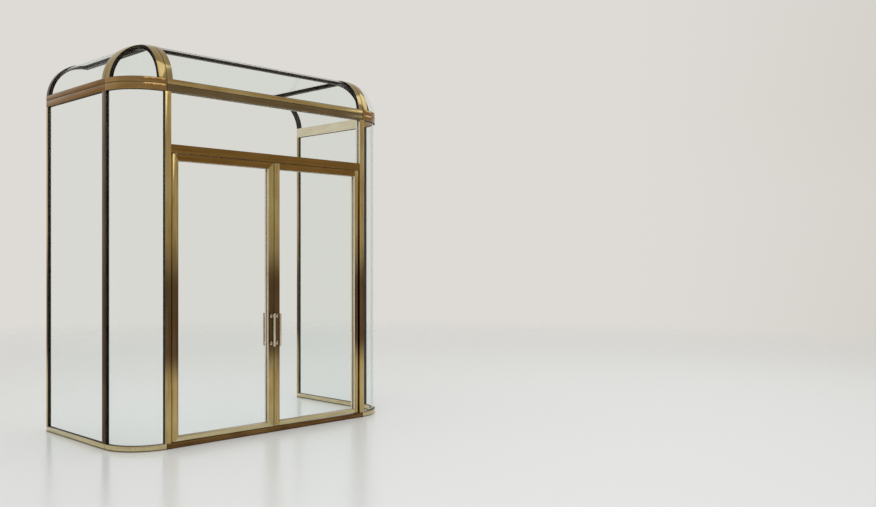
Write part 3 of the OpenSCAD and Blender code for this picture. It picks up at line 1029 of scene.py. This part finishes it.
@dataclass
class CurvedGlass:
    """The bent panes: round corners, coves and domes."""

    layout: Layout
    glass: Material
    roof_glass: Material
    margin: float = 9 * MM
    pane_edge: float = 8 * MM
    pole_gap: float = 36 * MM
    steps: int = 64

    def build(self) -> None:
        """Builds, dresses and fastens every bent pane."""
        for side in Side:
            self._pane(f"{side.value}_corner_glass", partial(self._corner, side))
            self._pane(f"{side.value}_dome_glass", partial(self._dome, side))
            self._pane(f"{side.value}_cove_glass", partial(self._cove, side))
        self._pane("front_cove_glass", partial(self._cove, None))

    def _pane(self, node: str, surface: Callable[[float], list[list[Vector]]]) -> None:
        """Makes a pane from its surface at two radii and fastens it.

        Args:
            node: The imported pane.
            surface: Gives rows of points at a radius.
        """
        layout = self.layout
        radius, thickness, coat = layout.glass_r, layout.roof_glass_t, self.roof_glass
        if "corner" in node:
            radius, thickness, coat = layout.corner_r, layout.glass_t, self.glass
            radius -= (layout.frame_d - thickness) / 2
        piece = shell(node + "_bent", surface(radius), surface(radius - thickness), coat)
        dress(piece, "frame", [node])

    def _corner(self, side: Side, radius: float) -> list[list[Vector]]:
        """Gives the rows of a corner pane at a radius."""
        turns = quarter(radius, self.margin, self.steps)
        return [[self.layout.corner(side, radius, turn, edge.z)[0] for turn in turns]
                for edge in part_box(f"{side.value}_corner_glass")]

    def _cove(self, side: Side | None, radius: float) -> list[list[Vector]]:
        """Gives the rows of a cove pane at a radius.

        Args:
            side: The cove's side, or none for the front.
            radius: Radius of the surface.

        Returns:
            The points, from its foot on the curb to the ridge rail.
        """
        rises = arc(radius, self.layout.foot_z, self.pane_edge, self.steps)
        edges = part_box(f"{side.value if side else 'front'}_cove_glass")
        return [[self.layout.cove(side, radius, rise, edge.y if side else edge.x)[0]
                 for rise in rises] for edge in edges]

    def _dome(self, side: Side, radius: float) -> list[list[Vector]]:
        """Gives the rows of a dome at a radius.

        Args:
            side: The dome's side.
            radius: Radius of the surface.

        Returns:
            The points, from a small gap round the pole to the curb.
        """
        rows = []
        first, last = math.asin(self.pole_gap / radius), math.acos(self.layout.foot_z / radius)
        for polar in spread(first, last, self.steps):
            flat = radius * math.sin(polar)
            rows.append([self.layout.dome(side, radius, flat * math.sin(turn),
                                          flat * math.cos(turn))[0]
                         for turn in quarter(flat, self.pane_edge, self.steps)])
        return rows


@dataclass
class Path:
    """A line that a small part follows, with the direction out at each of its points."""

    spots: Sequence[Spot]
    closed: bool = True

    def object(self, name: str) -> Object:
        """Makes the path a mesh of loose edges, with the directions as an attribute.

        Args:
            name: The object's name.

        Returns:
            The object that a tree grows a piece along.
        """
        count = len(self.spots)
        edges = [(i, (i + 1) % count) for i in range(count if self.closed else count - 1)]
        piece = mesh_object(name, [place for place, _ in self.spots], edges=edges)
        outward = piece.data.attributes.new("outward", "FLOAT_VECTOR", "POINT")
        outward.data.foreach_set("vector", [c for _, out in self.spots for c in out])
        return piece


def join_loops(strips: Sequence[Sequence[Spot]], ease: float) -> Path:
    """Joins the sides of a pane's edge into one loop with eased corners.

    Args:
        strips: The sides in order.
        ease: Distance that each side stops short of its corners.

    Returns:
        The closed path.
    """
    spots: list[Spot] = []
    for strip in strips:
        places = [place for place, _ in strip]
        first = places[0] + (places[1] - places[0]).normalized() * ease
        last = places[-1] + (places[-2] - places[-1]).normalized() * ease
        spots += zip([first, *places[1:-1], last], [out for _, out in strip])
    return Path(spots)


class PathTree:
    """A Geometry Nodes tree that grows small parts along a path, with an input for each size."""

    kinds: ClassVar[dict[str, str]] = {"Seed": "NodeSocketInt", "Material": "NodeSocketMaterial"}

    def __init__(self, name: str, *sizes: str) -> None:
        """Starts the tree.

        Args:
            name: The tree's name.
            sizes: Names of its inputs, besides the path and the material.
        """
        self.tree = bpy.data.node_groups.new(name, "GeometryNodeTree")
        face = self.tree.interface
        for way in ("INPUT", "OUTPUT"):
            face.new_socket("Geometry", in_out=way, socket_type="NodeSocketGeometry")
        self.identifiers = {label: face.new_socket(
            label, in_out="INPUT", socket_type=self.kinds.get(label, "NodeSocketFloat")).identifier
            for label in (*sizes, "Material")}
        self.given = add_node(self.tree, "NodeGroupInput").outputs
        self.out = add_node(self.tree, "GeometryNodeInputNamedAttribute", {"Name": "outward"},
                            data_type="FLOAT_VECTOR")

    def sweep(self, curve: Node, section: Node) -> Node:
        """Adds a bar of a section along a curve, level with the surface.

        Args:
            curve: The node of the curve.
            section: The node of the section.

        Returns:
            The bar.
        """
        turned = add_node(self.tree, "GeometryNodeSetCurveNormal",
                          {"Curve": curve, "Normal": self.out}, mode="FREE")
        return add_node(self.tree, "GeometryNodeCurveToMesh",
                        {"Curve": turned, "Profile Curve": section, "Fill Caps": True})

    def plant(self, points: Node | NodeSocket, part: Node, aim: Node) -> Node:
        """Adds a part at each point, turned to an aim.

        Args:
            points: Where the parts stand.
            part: The node of the part, which looks along Z.
            aim: The node of the direction that it is turned to.

        Returns:
            The parts.
        """
        turn = add_node(self.tree, "FunctionNodeAlignRotationToVector", {"Vector": aim}, axis="Z")
        return add_node(self.tree, "GeometryNodeInstanceOnPoints",
                        {"Points": points, "Instance": part, "Rotation": turn})

    def close(self, grown: Node) -> "PathTree":
        """Ends the tree with real geometry in the material that is asked for.

        Args:
            grown: The node that holds all its parts.

        Returns:
            The finished tree.
        """
        real = add_node(self.tree, "GeometryNodeRealizeInstances", {"Geometry": grown})
        painted = add_node(self.tree, "GeometryNodeSetMaterial",
                           {"Geometry": real, "Material": self.given["Material"]})
        add_node(self.tree, "NodeGroupOutput", {"Geometry": painted})
        return self

    def grow(self, path: Path, name: str, values: dict[str, Any]) -> Object:
        """Grows a piece along a path and makes it a plain mesh.

        Args:
            path: The line to follow.
            name: The piece's name.
            values: A value for each input by name.

        Returns:
            The new piece.
        """
        piece = path.object(name)
        modifier = piece.modifiers.new(self.tree.name, "NODES")
        modifier.node_group = self.tree
        for label, value in values.items():
            modifier[self.identifiers[label]] = value
        return bake(piece)


def seam_tree(name: str, sides: Sequence[int]) -> PathTree:
    """Builds a tree that sweeps a small rectangular section along a path, at its sides.

    Args:
        name: The tree's name.
        sides: For each strip, 1 outside the path, -1 inside or 0 on it.

    Returns:
        The tree.
    """
    seam = PathTree(name, "Offset", "Depth", "Thickness")
    tree, given = seam.tree, seam.given
    section = add_node(tree, "GeometryNodeCurvePrimitiveQuadrilateral",
                       {"Width": given["Depth"], "Height": given["Thickness"]})
    joined = add_node(tree, "GeometryNodeJoinGeometry")
    for side in sides:
        amount = add_node(tree, "ShaderNodeMath", {0: given["Offset"], 1: float(side)},
                          operation="MULTIPLY")
        shift = add_node(tree, "ShaderNodeVectorMath", {0: seam.out, "Scale": amount},
                         operation="SCALE")
        moved = add_node(tree, "GeometryNodeSetPosition",
                         {"Geometry": given["Geometry"], "Offset": shift})
        curve = add_node(tree, "GeometryNodeMeshToCurve", {"Mesh": moved})
        tree.links.new(seam.sweep(curve, section).outputs[0], joined.inputs[0])
    return seam.close(joined)


class Bead(Enum):
    """Sections of the seals, as (depth, thickness)."""

    LINING = (12 * MM, 1.6 * MM)
    NARROW = (5 * MM, 3 * MM)
    ROOF = (4 * MM, 3 * MM)
    FILLER = (2 * MM, 5 * MM)

    @property
    def half(self) -> float:
        """Half its thickness, by which its middle lies inside the opening."""
        return self.value[1] / 2


@dataclass
class GlazingSeals:
    """Seals on both faces of every pane, and the fillers of the joint lines.

    The side and corner panes have black seals that line the whole return of their frame. The
    transom light and the doors have narrow pale ones, which leave the brass return bare.
    """

    layout: Layout
    rubber: Material
    silicone: Material
    ease: float = 0.4 * MM
    steps: int = 48

    def build(self) -> None:
        """Grows and fastens every seal and filler."""
        self.seam = seam_tree("pane_seal", (1, -1))
        self.filler = seam_tree("joint_filler", (0,))
        for side in Side:
            name = side.value
            self._seal(f"{name}_side_seal", self._flat(f"{name}_side_glass", side.out,
                                                       Bead.LINING), Bead.LINING)
            self._seal(f"{name}_corner_seal", self._corner(side), Bead.LINING)
            self._seal(f"{name}_cove_seal", self._cove(side), Bead.ROOF)
            self._seal(f"{name}_dome_seal", self._dome(side), Bead.ROOF)
            self._seal(f"{name}_door_seal", self._flat(f"{name}_door_glass", FRONT, Bead.NARROW),
                       Bead.NARROW, f"{name}_door")
            self._seal(f"{name}_front_joint_filler", self._joint(side, True), Bead.FILLER)
            self._seal(f"{name}_side_joint_filler", self._joint(side, False), Bead.FILLER)
        self._seal("transom_seal", self._flat("transom_glass", FRONT, Bead.NARROW), Bead.NARROW)
        self._seal("front_cove_seal", self._cove(None), Bead.ROOF)
        self._seal("flat_roof_seal", self._flat_roof(), Bead.ROOF)
        self._seal("curb_joint_filler", self._curb_joint(), Bead.FILLER)

    def _seal(self, name: str, path: Path, bead: Bead, body: str = "frame") -> None:
        """Grows a seal on both faces of a pane, or a filler on its line, and fastens it.

        Args:
            name: The piece's name.
            path: The line of the seal on the pane's middle surface, or of the filler.
            bead: Its section.
            body: The body that it moves with.
        """
        depth, thickness = bead.value
        glass_t = self.layout.roof_glass_t if bead is Bead.ROOF else self.layout.glass_t
        tree = self.filler if bead is Bead.FILLER else self.seam
        dress(tree.grow(path, name, {
            "Offset": (glass_t + depth) / 2, "Depth": depth, "Thickness": thickness,
            "Material": self.silicone if bead is Bead.NARROW else self.rubber}), body)

    def _loop(self, at: Callable[[float, float], Spot], steps: Sequence[float], low: float,
              high: float) -> Path:
        """Gives the loop round an opening.

        Args:
            at: Gives the spot at a step along the opening and a place across it.
            steps: The steps along the opening.
            low: The place of its first edge.
            high: The place of its other edge.

        Returns:
            The closed path.
        """
        first, last = steps[0], steps[-1]
        return join_loops([[at(step, low) for step in steps], [at(last, low), at(last, high)],
                           [at(step, high) for step in reversed(steps)],
                           [at(first, high), at(first, low)]], self.ease)

    def _flat(self, node: str, out: Vector, bead: Bead) -> Path:
        """Gives the loop in a flat pane's opening, set in from the pane's own edges.

        Args:
            node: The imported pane.
            out: Direction out of the pane.
            bead: The seal's section.

        Returns:
            The closed path.
        """
        low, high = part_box(node)
        ends = [corner.x if out.y else corner.y for corner in (low, high)]
        edge = BITE + bead.half
        return self._loop(partial(on_pane, (low + high) / 2, out),
                          (ends[0] + edge, ends[1] - edge), low.z + DROP + bead.half,
                          high.z - edge)

    def _corner(self, side: Side) -> Path:
        """Gives the loop round a bent corner pane.

        Args:
            side: The corner's side.

        Returns:
            The closed path.
        """
        layout, half = self.layout, Bead.LINING.half
        radius = layout.corner_r - layout.frame_d / 2
        return self._loop(partial(layout.corner, side, radius),
                          quarter(radius, layout.post_round_w + half, self.steps),
                          layout.sill_h + half, layout.head_z - half)

    def _cove(self, side: Side | None) -> Path:
        """Gives the loop round a cove pane.

        Args:
            side: The cove's side, or none for the front.

        Returns:
            The closed path.
        """
        layout, half = self.layout, Bead.ROOF.half
        radius = layout.glass_r - layout.roof_glass_t / 2
        rises = arc(radius, layout.foot_z + half, layout.ridge_half + half, self.steps)
        high = layout.corner_x - layout.rib_cove_w
        low = -high
        if side:
            low, high = layout.corner_y + layout.rib_cove_w, layout.rear_y - layout.wall_rib_w
        return self._loop(partial(layout.cove, side, radius), rises, low + half, high - half)

    def _dome(self, side: Side) -> Path:
        """Gives the loop round a dome's opening: two ribs, the rounded tip and the curb.

        Args:
            side: The dome's side.

        Returns:
            The closed path.
        """
        layout, half = self.layout, Bead.ROOF.half
        radius = layout.glass_r - layout.roof_glass_t / 2
        foot, near = layout.foot_z + half, layout.dome_w + half
        middle, bend = layout.dome_w + layout.tip_r, layout.tip_r - half
        reach, flat = math.sqrt(radius ** 2 - near ** 2), math.sqrt(radius ** 2 - foot ** 2)
        rib = [reach * math.cos(rise) for rise in arc(reach, foot, middle, self.steps)]
        tip = [(middle - bend * math.cos(turn), middle - bend * math.sin(turn))
               for turn in spread(0.0, math.pi / 2, self.steps // 3)]
        curb = [(flat * math.cos(turn), flat * math.sin(turn))
                for turn in quarter(flat, near, self.steps)]
        ribs = [(near, f) for f in rib] + tip[1:-1] + [(f, near) for f in reversed(rib)]
        return join_loops([[layout.dome(side, radius, *place) for place in line]
                           for line in (ribs, curb)], self.ease)

    def _flat_roof(self) -> Path:
        """Gives the line along the three railed edges of the flat roof glass.

        Returns:
            The open path.
        """
        layout, half, ease = self.layout, Bead.ROOF.half, self.ease
        x = layout.corner_x - layout.ridge_half - half
        y = layout.corner_y + layout.ridge_half + half
        z = layout.flat_glass_z + layout.roof_glass_t / 2
        corners = [(-x, layout.rear_y), (-x, y + ease), (-x + ease, y), (x - ease, y),
                   (x, y + ease), (x, layout.rear_y)]
        return Path([(Vector((*corner, z)), Vector((0, 0, 1))) for corner in corners], False)

    def _joint(self, side: Side, front: bool) -> Path:
        """Gives a joint line from the floor up the frame and along its rib to the ridge.

        Args:
            side: The side of the vestibule.
            front: Whether it is the line of the front rib and not of the side rib.

        Returns:
            The open path.
        """
        layout, radius = self.layout, self.layout.filler_r
        turn = 0.0 if front else math.pi / 2
        place = side.sign * layout.corner_x if front else layout.corner_y
        rises = arc(radius, layout.foot_z, layout.ridge_half, self.steps)[1:]
        return Path([layout.corner(side, radius, turn, z) for z in (0.0, layout.roof_z)]
                    + [layout.cove(None if front else side, radius, rise, place)
                       for rise in rises], False)

    def _curb_joint(self) -> Path:
        """Gives the joint line between the head rails and the curb, from wall to wall.

        Returns:
            The open path.
        """
        layout, radius = self.layout, self.layout.filler_r
        z = layout.curb_z + layout.joint_w / 2
        halves = []
        for side in Side:
            end = Vector((side.sign * (layout.corner_x + radius), layout.rear_y, z))
            halves.append([*(layout.corner(side, radius, turn, z)
                             for turn in quarter(radius, 0.0, self.steps)), (end, side.out)])
        return Path([*reversed(halves[0]), *halves[1]], False)


@dataclass
class PileBrushes:
    """Brush strips of toned pile where the doors meet, and under and over each door."""

    layout: Layout
    pile: Material
    spacing: float = 1.7 * MM
    radius: float = 0.65 * MM
    tip_radius: float = 0.35 * MM
    length: float = 5.2 * MM
    lean: float = 0.12
    backing: tuple[float, float] = (4.4 * MM, 5 * MM)
    inset: float = 4 * MM
    top_inset: float = 9 * MM
    heel_w: float = 55 * MM
    seed: int = 11

    def build(self) -> None:
        """Grows the brushes and fastens each to its door."""
        self.tree = self._brush_tree()
        for side in Side:
            body = f"{side.value}_door"
            low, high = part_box(f"{body}_frame")
            middle = (low.y + high.y) / 2
            meet, heel = (low.x, high.x)[::side.sign]
            span = (meet + side.sign * self.inset, heel - side.sign * self.heel_w)
            if side is Side.RIGHT:
                self._brush("meeting_brush", body, [Vector((meet, middle, z)) for z in (
                    low.z + self.inset, high.z - self.inset)], Vector((-1, 0, 0)))
            self._brush(f"{body}_sweep", body, [Vector((x, middle, low.z)) for x in span],
                        Vector((0, 0, -1)))
            for face, y in (("front", low.y + self.top_inset), ("back", high.y - self.top_inset)):
                self._brush(f"{body}_{face}_top_brush", body,
                            [Vector((x, y, high.z)) for x in span], Vector((0, 0, 1)))

    def _brush(self, name: str, body: str, ends: Sequence[Vector], out: Vector) -> None:
        """Grows a brush between two ends and fastens it.

        Args:
            name: The piece's name.
            body: The body that it moves with.
            ends: Its two ends.
            out: Direction that its bristles point in.
        """
        dress(self.tree.grow(Path([(end, out) for end in ends], False), name, {
            "Spacing": self.spacing, "Bristle Length": self.length, "Bristle Radius": self.radius,
            "Seed": self.seed, "Material": self.pile}), body)

    def _brush_tree(self) -> PathTree:
        """Builds the tree that sets leaning bristles along a line, on a narrow backing.

        Returns:
            The tree.
        """
        brush = PathTree("pile_brush", "Spacing", "Bristle Length", "Bristle Radius", "Seed")
        tree, given = brush.tree, brush.given
        curve = add_node(tree, "GeometryNodeMeshToCurve", {"Mesh": given["Geometry"]})
        stops = add_node(tree, "GeometryNodeResampleCurve",
                         {"Curve": curve, "Length": given["Spacing"]}, mode="LENGTH")
        bristle = add_node(tree, "GeometryNodeMeshCone",
                           {"Vertices": 4, "Radius Top": self.tip_radius,
                            "Radius Bottom": given["Bristle Radius"],
                            "Depth": given["Bristle Length"]})
        lean = add_node(tree, "FunctionNodeRandomValue",
                        {0: (-self.lean,) * 3, 1: (self.lean,) * 3, "Seed": given["Seed"]},
                        data_type="FLOAT_VECTOR")
        aim = add_node(tree, "ShaderNodeVectorMath", {0: brush.out, 1: lean}, operation="ADD")
        section = add_node(tree, "GeometryNodeCurvePrimitiveQuadrilateral",
                           {"Width": self.backing[0], "Height": self.backing[1]})
        joined = add_node(tree, "GeometryNodeJoinGeometry", {0: brush.plant(stops, bristle, aim)})
        tree.links.new(brush.sweep(curve, section).outputs[0], joined.inputs[0])
        return brush.close(joined)


@dataclass
class GrubScrews:
    """Socket screws that hold the pulls' bars on their standoffs, one under each standoff."""

    steel: Material
    radius: float = 3.0 * MM
    height: float = 1.2 * MM
    key: float = 1.5 * MM
    socket_rise: float = 0.4
    sides: int = 24
    standoff_r: float = 6.5 * MM
    from_end: float = 26 * MM
    from_bar: float = 16 * MM

    def build(self) -> None:
        """Grows the screws of each door's two pulls and fastens them to the door."""
        tree = self._screw_tree()
        for side in Side:
            body = f"{side.value}_door"
            low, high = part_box(f"{body}_pulls")
            spots = [(Vector(((low.x + high.x) / 2, y, z - self.standoff_r)), Vector((0, 0, -1)))
                     for y in (low.y + self.from_bar, high.y - self.from_bar)
                     for z in (low.z + self.from_end, high.z - self.from_end)]
            piece = tree.grow(Path(spots), f"{body}_grub_screws", {
                "Radius": self.radius, "Height": self.height, "Key": self.key,
                "Material": self.steel})
            smooth_by_angle(piece)
            dress(piece, body)

    def _screw_tree(self) -> PathTree:
        """Builds the tree that sets a screw with a six-sided socket at each point of a path.

        Returns:
            The tree.
        """
        screw = PathTree("grub_screw", "Radius", "Height", "Key")
        tree, given = screw.tree, screw.given
        head = add_node(tree, "GeometryNodeMeshCylinder",
                        {"Vertices": self.sides, "Radius": given["Radius"],
                         "Depth": given["Height"]})
        socket = add_node(tree, "GeometryNodeMeshCylinder",
                          {"Vertices": 6, "Radius": given["Key"], "Depth": given["Height"]})
        height = add_node(tree, "ShaderNodeCombineXYZ", {"Z": given["Height"]})
        rise = add_node(tree, "ShaderNodeVectorMath", {0: height, "Scale": self.socket_rise},
                        operation="SCALE")
        raised = add_node(tree, "GeometryNodeTransform",
                          {"Geometry": socket, "Translation": rise})
        cut = add_node(tree, "GeometryNodeMeshBoolean", {"Mesh 1": head, "Mesh 2": raised},
                       operation="DIFFERENCE", solver="EXACT")
        return screw.close(screw.plant(given["Geometry"], cut, screw.out))


@dataclass(frozen=True)
class Viewpoint:
    """The camera of the photograph: level, at eye height, with an upright picture plane."""

    place: Point = (-4.766, -7.370, 1.55)
    heading: float = -46.03
    lens: float = 36.67
    sensor: float = 36.0
    rise: float = 0.0073

    def build(self) -> None:
        """Adds the camera and makes it the scene's own."""
        camera = bpy.data.objects.new("viewpoint", bpy.data.cameras.new("viewpoint"))
        camera.data.lens = self.lens
        camera.data.sensor_width = self.sensor
        camera.data.shift_y = self.rise
        camera.location = self.place
        camera.rotation_euler = (math.pi / 2, 0.0, math.radians(self.heading))
        bpy.context.scene.collection.objects.link(camera)
        bpy.context.scene.camera = camera


@dataclass(frozen=True)
class Softbox:
    """A large soft lamp over the vestibule."""

    name: str
    place: Point
    size: tuple[float, float]
    power: float
    tone: str = "#ffffff"
    target: Point = (0.0, -1.0, 0.0)

    def build(self) -> None:
        """Adds the lamp, turned to its target."""
        lamp = bpy.data.lights.new(self.name, "AREA")
        lamp.shape = "RECTANGLE"
        lamp.size, lamp.size_y = self.size
        lamp.energy = self.power
        lamp.color = linear(self.tone)[:3]
        piece = bpy.data.objects.new(self.name, lamp)
        piece.location = self.place
        aim = Vector(self.target) - Vector(self.place)
        piece.rotation_euler = aim.to_track_quat("-Z", "Y").to_euler()
        bpy.context.scene.collection.objects.link(piece)


@dataclass(frozen=True)
class Studio:
    """A pale polished floor, a soft room round it and two large lamps.

    Behind the part the room is plain. In front of it, where the brass looks, it is a little
    darker, most of all at the heights of a real room's furniture and cornice. The bands give
    its tone by the angle above the horizon, and half_front and soft its reach to each side.
    """

    floor_radius: float = 16.0
    floor_sides: int = 96
    background: str = "#dedbd6"
    bands: tuple[tuple[float, str], ...] = (
        (-20.0, "#dedbd6"), (-9.0, "#d8d5d0"), (-4.5, "#c2beb6"), (-1.0, "#c6c2bb"),
        (4.0, "#c9c5be"), (9.0, "#c1bcb3"), (16.0, "#c6c2bb"), (45.0, "#d2cfca"),
        (70.0, "#dad7d2"))
    half_front: float = 80.0
    soft: float = 45.0

    def build(self) -> None:
        """Adds the floor, the world and the lamps, and sets the plain view."""
        bpy.context.scene.view_settings.view_transform = "Standard"
        turns = [2 * math.pi * i / self.floor_sides for i in range(self.floor_sides)]
        rim = [(self.floor_radius * math.cos(turn), self.floor_radius * math.sin(turn), 0.0)
               for turn in turns]
        mesh_object("floor", rim, [tuple(range(self.floor_sides))],
                             coats=[PolishedStone("polished_stone_floor").material()])
        self._room()
        Softbox("ceiling_light", (-1.5, -5.2, 8.0), (8.0, 6.0), 190.0).build()
        Softbox("side_light", (6.5, -3.0, 6.5), (4.0, 4.0), 70.0, "#f4f8ff").build()

    def _room(self) -> None:
        """Adds the room: plain behind the part, banded in front of it."""
        world = bpy.data.worlds.new("soft_room")
        world.use_nodes = True
        tree = world.node_tree
        tree.nodes.clear()
        place = add_node(tree, "ShaderNodeTexCoord").outputs["Generated"]
        parts = add_node(tree, "ShaderNodeSeparateXYZ", {0: place}).outputs
        rise = add_node(tree, "ShaderNodeMath", {0: parts["Z"]}, operation="ARCSINE")
        ahead = add_node(tree, "ShaderNodeMath", {0: parts["Y"], 1: -1.0}, operation="MULTIPLY")
        turn = add_node(tree, "ShaderNodeMath", {0: parts["X"], 1: ahead}, operation="ARCTAN2")
        aside = add_node(tree, "ShaderNodeMath", {0: turn}, operation="ABSOLUTE")
        facing = add_node(tree, "ShaderNodeMapRange",
                          {"Value": aside, "From Min": math.radians(self.half_front + self.soft),
                           "From Max": math.radians(self.half_front)},
                          interpolation_type="SMOOTHSTEP")
        colour = add_node(tree, "ShaderNodeMix",
                          {"Factor": facing, 6: linear(self.background),
                           7: self._banded(tree, rise)}, data_type="RGBA")
        room = add_node(tree, "ShaderNodeBackground",
                        {"Color": colour.outputs[2], "Strength": 1.0})
        add_node(tree, "ShaderNodeOutputWorld", {"Surface": room})
        bpy.context.scene.world = world

    def _banded(self, tree: NodeTree, rise: Node) -> Node:
        """Adds the room's tone by height.

        Args:
            tree: The world's tree.
            rise: The angle above the horizon.

        Returns:
            The tone.
        """
        low, high = self.bands[0][0], self.bands[-1][0]
        share = add_node(tree, "ShaderNodeMapRange",
                         {"Value": rise, "From Min": math.radians(low),
                          "From Max": math.radians(high)})
        ramp = add_node(tree, "ShaderNodeValToRGB", {0: share})
        stops = ramp.color_ramp.elements
        while len(stops) < len(self.bands):
            stops.new(0.5)
        for stop, (angle, tone) in zip(stops, self.bands):
            stop.position = (angle - low) / (high - low)
            stop.color = linear(tone)
        return ramp


def dress_brass(layout: Layout, finishes: Finishes) -> None:
    """Dresses the walls' bars, the head rails and the curb, the roof's ribs and rails.

    Args:
        layout: The vestibule's places.
        finishes: Its materials.
    """
    # The second finishes of the jamb posts and side head rails are pale painted light on their
    # lobby faces.
    members = {"wall_post": [finishes.upright], "corner_post": [finishes.post],
               "jamb_post": [finishes.upright, finishes.lip], "sill": [finishes.bottom],
               "corner_sill": [finishes.bottom], "head_rail": [finishes.side, finishes.inner],
               "corner_head_rail": [finishes.corner]}
    ribs = {Run.FRONT: finishes.rib_front, Run.SIDE: finishes.rib_side,
            Run.REAR: finishes.rib_wall}
    for side in Side:
        for name, coats in members.items():
            painted_light_from = layout.transom_top if name == "jamb_post" else 0.0
            BrassSection(f"{side.value}_{name}", coats, painted_light_from=painted_light_from).build()
        BrassSection(f"{side.value}_ridge_rail", [finishes.bronze], slot="dark_bronze").build()
        for run, brass in ribs.items():
            RoofRib(side, run, layout, brass, finishes.bronze).build()
    RoofCurb("roof_curb", [finishes.curb, finishes.corner, finishes.side, finishes.inner],
             corner=(layout.corner_x, layout.corner_y)).build()
    BrassSection("front_ridge_rail", [finishes.bronze], slot="dark_bronze").build()
    BrassSection("front_sill", [finishes.sill]).build()
    BrassSection("transom_bar", [finishes.transom]).build()
    BrassSection("front_head_rail", [finishes.head]).build()


def dress_doors(finishes: Finishes) -> None:
    """Dresses the doors' frames and pulls and the pivots.

    Args:
        finishes: The materials.
    """
    # The leaf's top rail is darker and its bottom rail paler as painted reflection; its returns
    # are pale painted light.
    leaf = [finishes.upright, finishes.transom, finishes.bottom, finishes.lip]
    for side in Side:
        body = f"{side.value}_door"
        LeafFrame(f"{body}_frame", leaf, body, edge=0.8 * MM).build()
        BrassSection(f"{body}_pulls", [finishes.polished], body, "polished_brass",
                     0.7 * MM).build()
    BrassSection("pivot_pins", [finishes.steel], slot="steel", edge=0.0).build()


def glaze_flat(finishes: Finishes) -> None:
    """Gives the flat panes their glass; their solids stay as they are.

    Args:
        finishes: The materials.
    """
    for node in ("left_side_glass", "right_side_glass", "transom_glass", "flat_roof_glass",
                 "left_door_glass", "right_door_glass"):
        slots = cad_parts[node].data.materials
        slots.clear()
        slots.append(finishes.roof_glass if "roof" in node else finishes.glass)


def main() -> None:
    """Builds the vestibule's pieces in order and reports each."""
    logging.basicConfig(level=logging.INFO, format="%(message)s")
    layout = Layout.from_frame()
    finishes = Finishes()
    Viewpoint().build()
    Studio().build()
    dress_brass(layout, finishes)
    dress_doors(finishes)
    CurvedGlass(layout, finishes.glass, finishes.roof_glass).build()
    glaze_flat(finishes)
    GlazingSeals(layout, finishes.rubber, finishes.silicone).build()
    PileBrushes(layout, finishes.pile).build()
    GrubScrews(finishes.steel).build()


if __name__ == "__main__":
    main()
